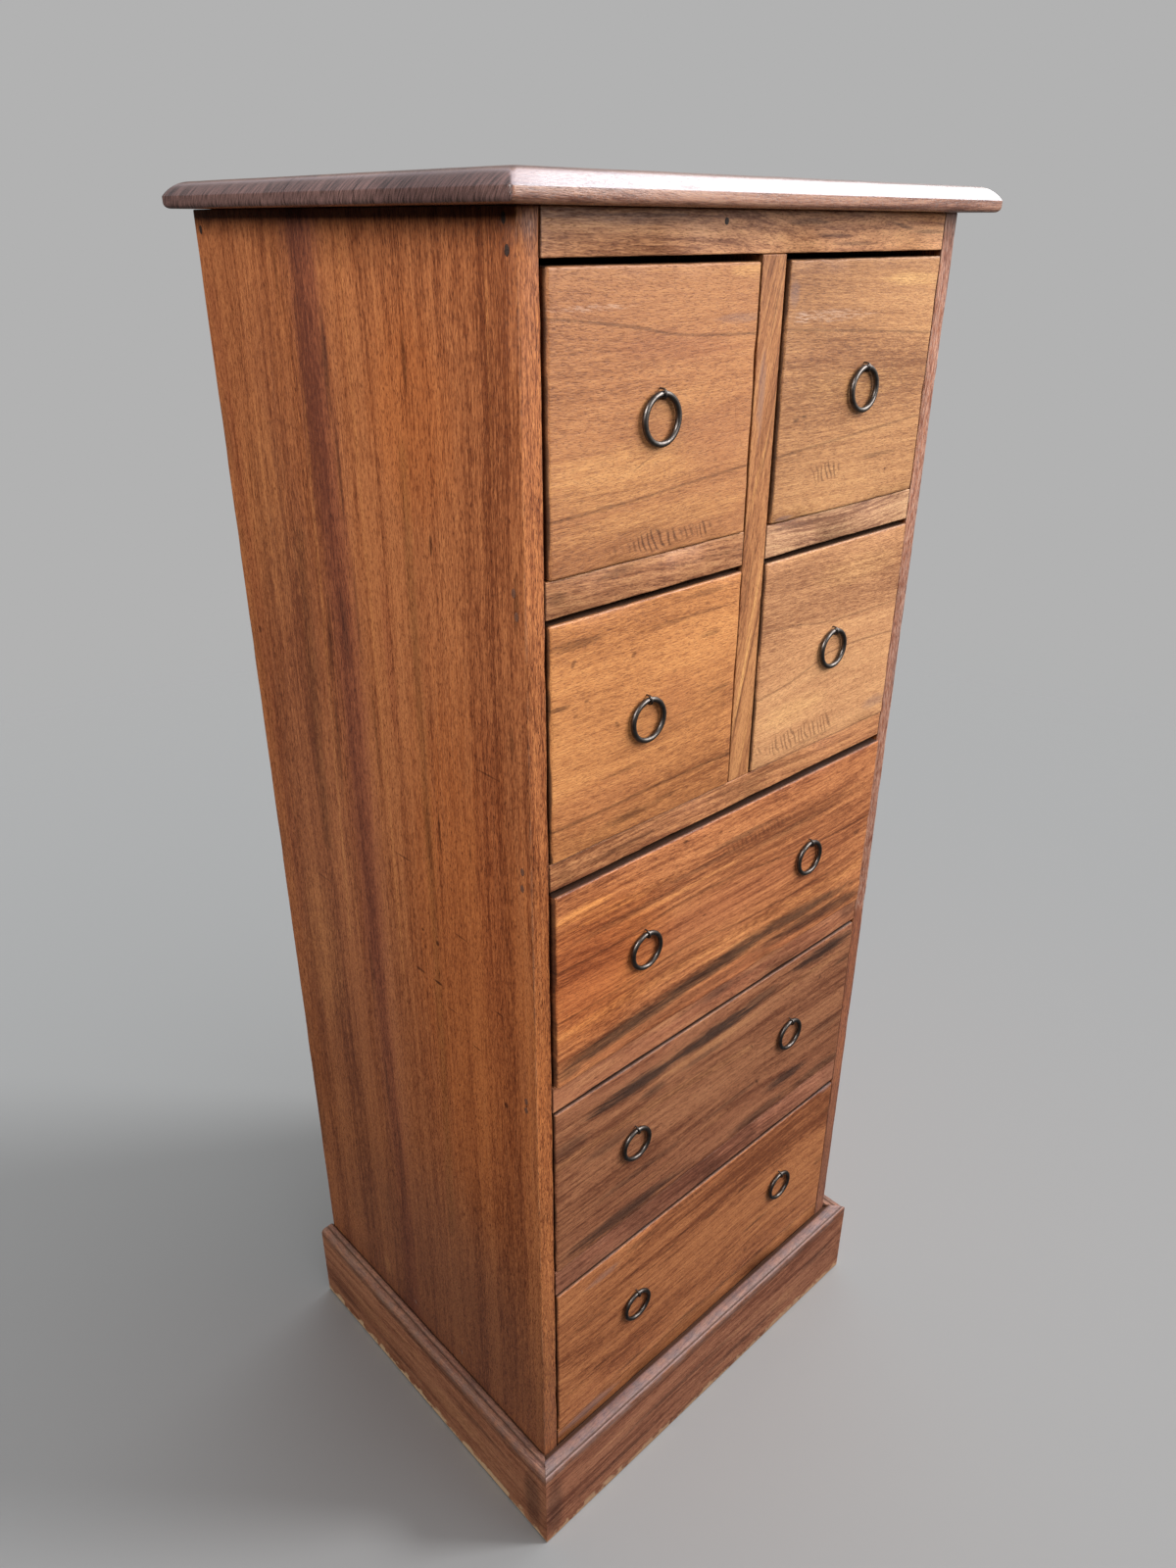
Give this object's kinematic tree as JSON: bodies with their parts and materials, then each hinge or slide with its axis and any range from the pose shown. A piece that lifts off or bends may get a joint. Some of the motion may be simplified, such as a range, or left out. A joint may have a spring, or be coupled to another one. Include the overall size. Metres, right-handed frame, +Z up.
{
  "type": "apothecary chest",
  "caption": "Tall narrow wooden chest of drawers on a mitred plinth, small drawers above wide ones, with iron ring pulls and a moulded top.",
  "frame": {"origin": "middle of the chest's outer box at floor level", "axes": "+Z up, the drawer fronts face -Y, +X to the right seen from the front"},
  "size_m": [0.529, 0.433, 1.2692],
  "materials": {
    "carcass_wood": "worn polish, reddish brown",
    "rail_wood": "worn polish, orange brown",
    "front_wood": "worn polish, orange brown with dark streaks",
    "plinth_wood": "worn dark polish",
    "inner_wood": "bare wood",
    "iron": "blackened, rubbed bright in places"
  },
  "bodies": {
    "carcass": {"left_side": "carcass_wood", "right_side": "carcass_wood", "top_board": "carcass_wood", "back_panel": "inner_wood", "bottom_board": "rail_wood", "plinth_front": "plinth_wood", "plinth_left": "plinth_wood", "plinth_right": "plinth_wood", "top_rail": "rail_wood", "mid_rail_left": "rail_wood", "mid_rail_right": "rail_wood", "rail_3": "rail_wood", "rail_4": "rail_wood", "rail_5": "rail_wood", "centre_divider": "rail_wood", "mid_dust_board": "inner_wood", "dust_board_3": "inner_wood", "dust_board_4": "inner_wood", "dust_board_5": "inner_wood"},
    "drawer_1_left": {"drawer_1_left_front": "front_wood", "drawer_1_left_box": "inner_wood", "drawer_1_left_bottom": "inner_wood", "drawer_1_left_eye": "iron"},
    "drawer_1_right": {"drawer_1_right_front": "front_wood", "drawer_1_right_box": "inner_wood", "drawer_1_right_bottom": "inner_wood", "drawer_1_right_eye": "iron"},
    "drawer_2_left": {"drawer_2_left_front": "front_wood", "drawer_2_left_box": "inner_wood", "drawer_2_left_bottom": "inner_wood", "drawer_2_left_eye": "iron"},
    "drawer_2_right": {"drawer_2_right_front": "front_wood", "drawer_2_right_box": "inner_wood", "drawer_2_right_bottom": "inner_wood", "drawer_2_right_eye": "iron"},
    "drawer_3": {"drawer_3_front": "front_wood", "drawer_3_box": "inner_wood", "drawer_3_bottom": "inner_wood", "drawer_3_eye_left": "iron", "drawer_3_eye_right": "iron"},
    "drawer_4": {"drawer_4_front": "front_wood", "drawer_4_box": "inner_wood", "drawer_4_bottom": "inner_wood", "drawer_4_eye_left": "iron", "drawer_4_eye_right": "iron"},
    "drawer_5": {"drawer_5_front": "front_wood", "drawer_5_box": "inner_wood", "drawer_5_bottom": "inner_wood", "drawer_5_eye_left": "iron", "drawer_5_eye_right": "iron"},
    "ring_1_left": {"drawer_1_left_ring": "iron"},
    "ring_1_right": {"drawer_1_right_ring": "iron"},
    "ring_2_left": {"drawer_2_left_ring": "iron"},
    "ring_2_right": {"drawer_2_right_ring": "iron"},
    "ring_3_left": {"drawer_3_ring_left": "iron"},
    "ring_3_right": {"drawer_3_ring_right": "iron"},
    "ring_4_left": {"drawer_4_ring_left": "iron"},
    "ring_4_right": {"drawer_4_ring_right": "iron"},
    "ring_5_left": {"drawer_5_ring_left": "iron"},
    "ring_5_right": {"drawer_5_ring_right": "iron"}
  },
  "joints": [
    {"name": "drawer_1_left_slide", "type": "slide", "parent": "carcass", "child": "drawer_1_left", "axis": [0, -1, 0], "range_m": [0, 0.29]},
    {"name": "drawer_1_right_slide", "type": "slide", "parent": "carcass", "child": "drawer_1_right", "axis": [0, -1, 0], "range_m": [0, 0.29]},
    {"name": "drawer_2_left_slide", "type": "slide", "parent": "carcass", "child": "drawer_2_left", "axis": [0, -1, 0], "range_m": [0, 0.29]},
    {"name": "drawer_2_right_slide", "type": "slide", "parent": "carcass", "child": "drawer_2_right", "axis": [0, -1, 0], "range_m": [0, 0.29]},
    {"name": "drawer_3_slide", "type": "slide", "parent": "carcass", "child": "drawer_3", "axis": [0, -1, 0], "range_m": [0, 0.29]},
    {"name": "drawer_4_slide", "type": "slide", "parent": "carcass", "child": "drawer_4", "axis": [0, -1, 0], "range_m": [0, 0.29]},
    {"name": "drawer_5_slide", "type": "slide", "parent": "carcass", "child": "drawer_5", "axis": [0, -1, 0], "range_m": [0, 0.29]},
    {"name": "ring_1_left_swing", "type": "hinge", "parent": "drawer_1_left", "child": "ring_1_left", "pos_m": [-0.11755, -0.1953, 1.1372], "axis": [-1, 0, 0], "range_deg": [0, 180]},
    {"name": "ring_1_right_swing", "type": "hinge", "parent": "drawer_1_right", "child": "ring_1_right", "pos_m": [0.12265, -0.1953, 1.1372], "axis": [-1, 0, 0], "range_deg": [0, 180]},
    {"name": "ring_2_left_swing", "type": "hinge", "parent": "drawer_2_left", "child": "ring_2_left", "pos_m": [-0.12195, -0.1953, 0.91435], "axis": [-1, 0, 0], "range_deg": [0, 180]},
    {"name": "ring_2_right_swing", "type": "hinge", "parent": "drawer_2_right", "child": "ring_2_right", "pos_m": [0.11815, -0.1953, 0.91435], "axis": [-1, 0, 0], "range_deg": [0, 180]},
    {"name": "ring_3_left_swing", "type": "hinge", "parent": "drawer_3", "child": "ring_3_left", "pos_m": [-0.11755, -0.1973, 0.6978], "axis": [-1, 0, 0], "range_deg": [0, 180]},
    {"name": "ring_3_right_swing", "type": "hinge", "parent": "drawer_3", "child": "ring_3_right", "pos_m": [0.11315, -0.1973, 0.6978], "axis": [-1, 0, 0], "range_deg": [0, 180]},
    {"name": "ring_4_left_swing", "type": "hinge", "parent": "drawer_4", "child": "ring_4_left", "pos_m": [-0.11985, -0.1948, 0.47475], "axis": [-1, 0, 0], "range_deg": [0, 180]},
    {"name": "ring_4_right_swing", "type": "hinge", "parent": "drawer_4", "child": "ring_4_right", "pos_m": [0.11555, -0.1948, 0.47475], "axis": [-1, 0, 0], "range_deg": [0, 180]},
    {"name": "ring_5_left_swing", "type": "hinge", "parent": "drawer_5", "child": "ring_5_left", "pos_m": [-0.11155, -0.1948, 0.24335], "axis": [-1, 0, 0], "range_deg": [0, 180]},
    {"name": "ring_5_right_swing", "type": "hinge", "parent": "drawer_5", "child": "ring_5_right", "pos_m": [0.12675, -0.1948, 0.24335], "axis": [-1, 0, 0], "range_deg": [0, 180]}
  ]
}
